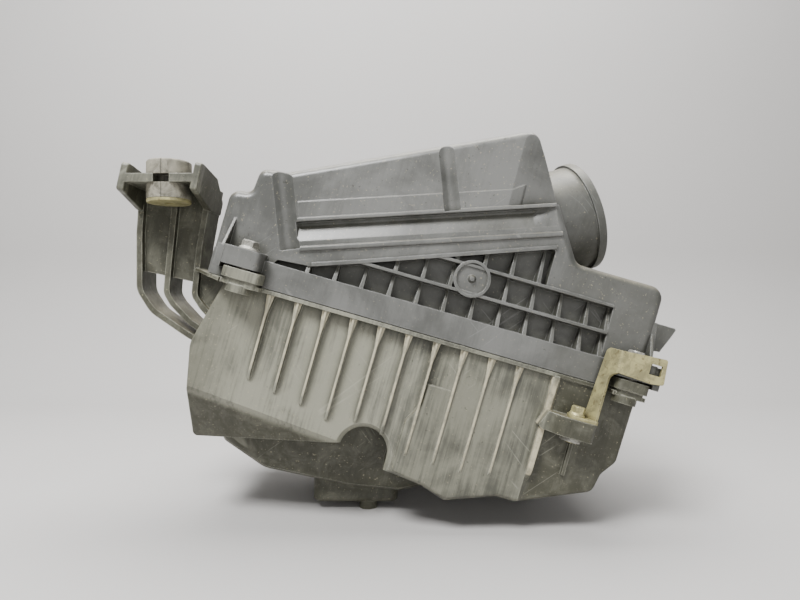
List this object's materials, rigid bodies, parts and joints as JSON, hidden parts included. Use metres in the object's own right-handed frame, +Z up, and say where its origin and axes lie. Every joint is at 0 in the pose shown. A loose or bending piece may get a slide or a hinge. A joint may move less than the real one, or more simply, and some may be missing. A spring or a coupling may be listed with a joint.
{
  "type": "air filter housing",
  "caption": "Engine air filter housing: ribbed lower case with a rubber-bushed mounting arm, bolted wedge-shaped cover with an outlet neck, and a pleated filter inside.",
  "frame": {"origin": "bottom centre of the whole assembly's box, on the plane the case stands on", "axes": "+X towards the outlet end, +Z up as it stands, -Y out of the ribbed front; the parting plane between case and cover leans 16 degrees down towards +X"},
  "size_m": [0.4024, 0.2104, 0.2727],
  "materials": {
    "case_plastic": "dusty, lightly scuffed",
    "cover_plastic": "satin",
    "zinc_plate": "yellow zinc plated",
    "plated_steel": "zinc plated",
    "bush_rubber": "dusty",
    "seal_foam": "soft polyurethane",
    "filter_paper": "pleated"
  },
  "bodies": {
    "case": {"lower_case": "case_plastic", "case_insert_front_left": "plated_steel", "case_insert_front_right": "plated_steel", "case_insert_rear_left": "plated_steel", "case_insert_rear_right": "plated_steel", "arm_grommet": "bush_rubber", "arm_collar": "zinc_plate", "bracket": "zinc_plate", "bracket_insert": "plated_steel"},
    "cover": {"upper_cover": "cover_plastic", "cover_sleeve_front_left": "plated_steel", "cover_sleeve_front_right": "plated_steel", "cover_sleeve_rear_left": "plated_steel", "cover_sleeve_rear_right": "plated_steel"},
    "filter": {"filter_seal": "seal_foam", "filter_media": "filter_paper"},
    "cover_bolt_front_left": {"cover_bolt_front_left": "plated_steel"},
    "cover_bolt_front_right": {"cover_bolt_front_right": "plated_steel"},
    "cover_bolt_rear_left": {"cover_bolt_rear_left": "plated_steel"},
    "cover_bolt_rear_right": {"cover_bolt_rear_right": "plated_steel"},
    "bracket_bolt": {"bracket_bolt": "zinc_plate"}
  },
  "joints": [
    {"name": "cover_lift", "type": "slide", "parent": "case", "child": "cover", "axis": [0.2756, 0, 0.9613], "range_m": [0, 0.15]},
    {"name": "filter_lift", "type": "slide", "parent": "case", "child": "filter", "axis": [0.2756, 0, 0.9613], "range_m": [0, 0.0675]},
    {"name": "cover_bolt_front_left_turn", "type": "hinge", "parent": "cover", "child": "cover_bolt_front_left", "pos_m": [-0.10709, -0.0948, 0.19133], "axis": [0.2756, 0, 0.9613], "continuous": true},
    {"name": "cover_bolt_front_right_turn", "type": "hinge", "parent": "cover", "child": "cover_bolt_front_right", "pos_m": [0.14524, -0.0948, 0.11898], "axis": [0.2756, 0, 0.9613], "continuous": true},
    {"name": "cover_bolt_rear_left_turn", "type": "hinge", "parent": "cover", "child": "cover_bolt_rear_left", "pos_m": [-0.10709, 0.0952, 0.19133], "axis": [0.2756, 0, 0.9613], "continuous": true},
    {"name": "cover_bolt_rear_right_turn", "type": "hinge", "parent": "cover", "child": "cover_bolt_rear_right", "pos_m": [0.14524, 0.0952, 0.11898], "axis": [0.2756, 0, 0.9613], "continuous": true},
    {"name": "bracket_bolt_turn", "type": "hinge", "parent": "case", "child": "bracket_bolt", "pos_m": [0.10633, -0.0958, 0.08124], "axis": [0.2756, 0, 0.9613], "continuous": true}
  ],
  "couplings": [
    {"joint": "filter_lift", "follows": "cover_lift", "ratio": 0.45}
  ]
}
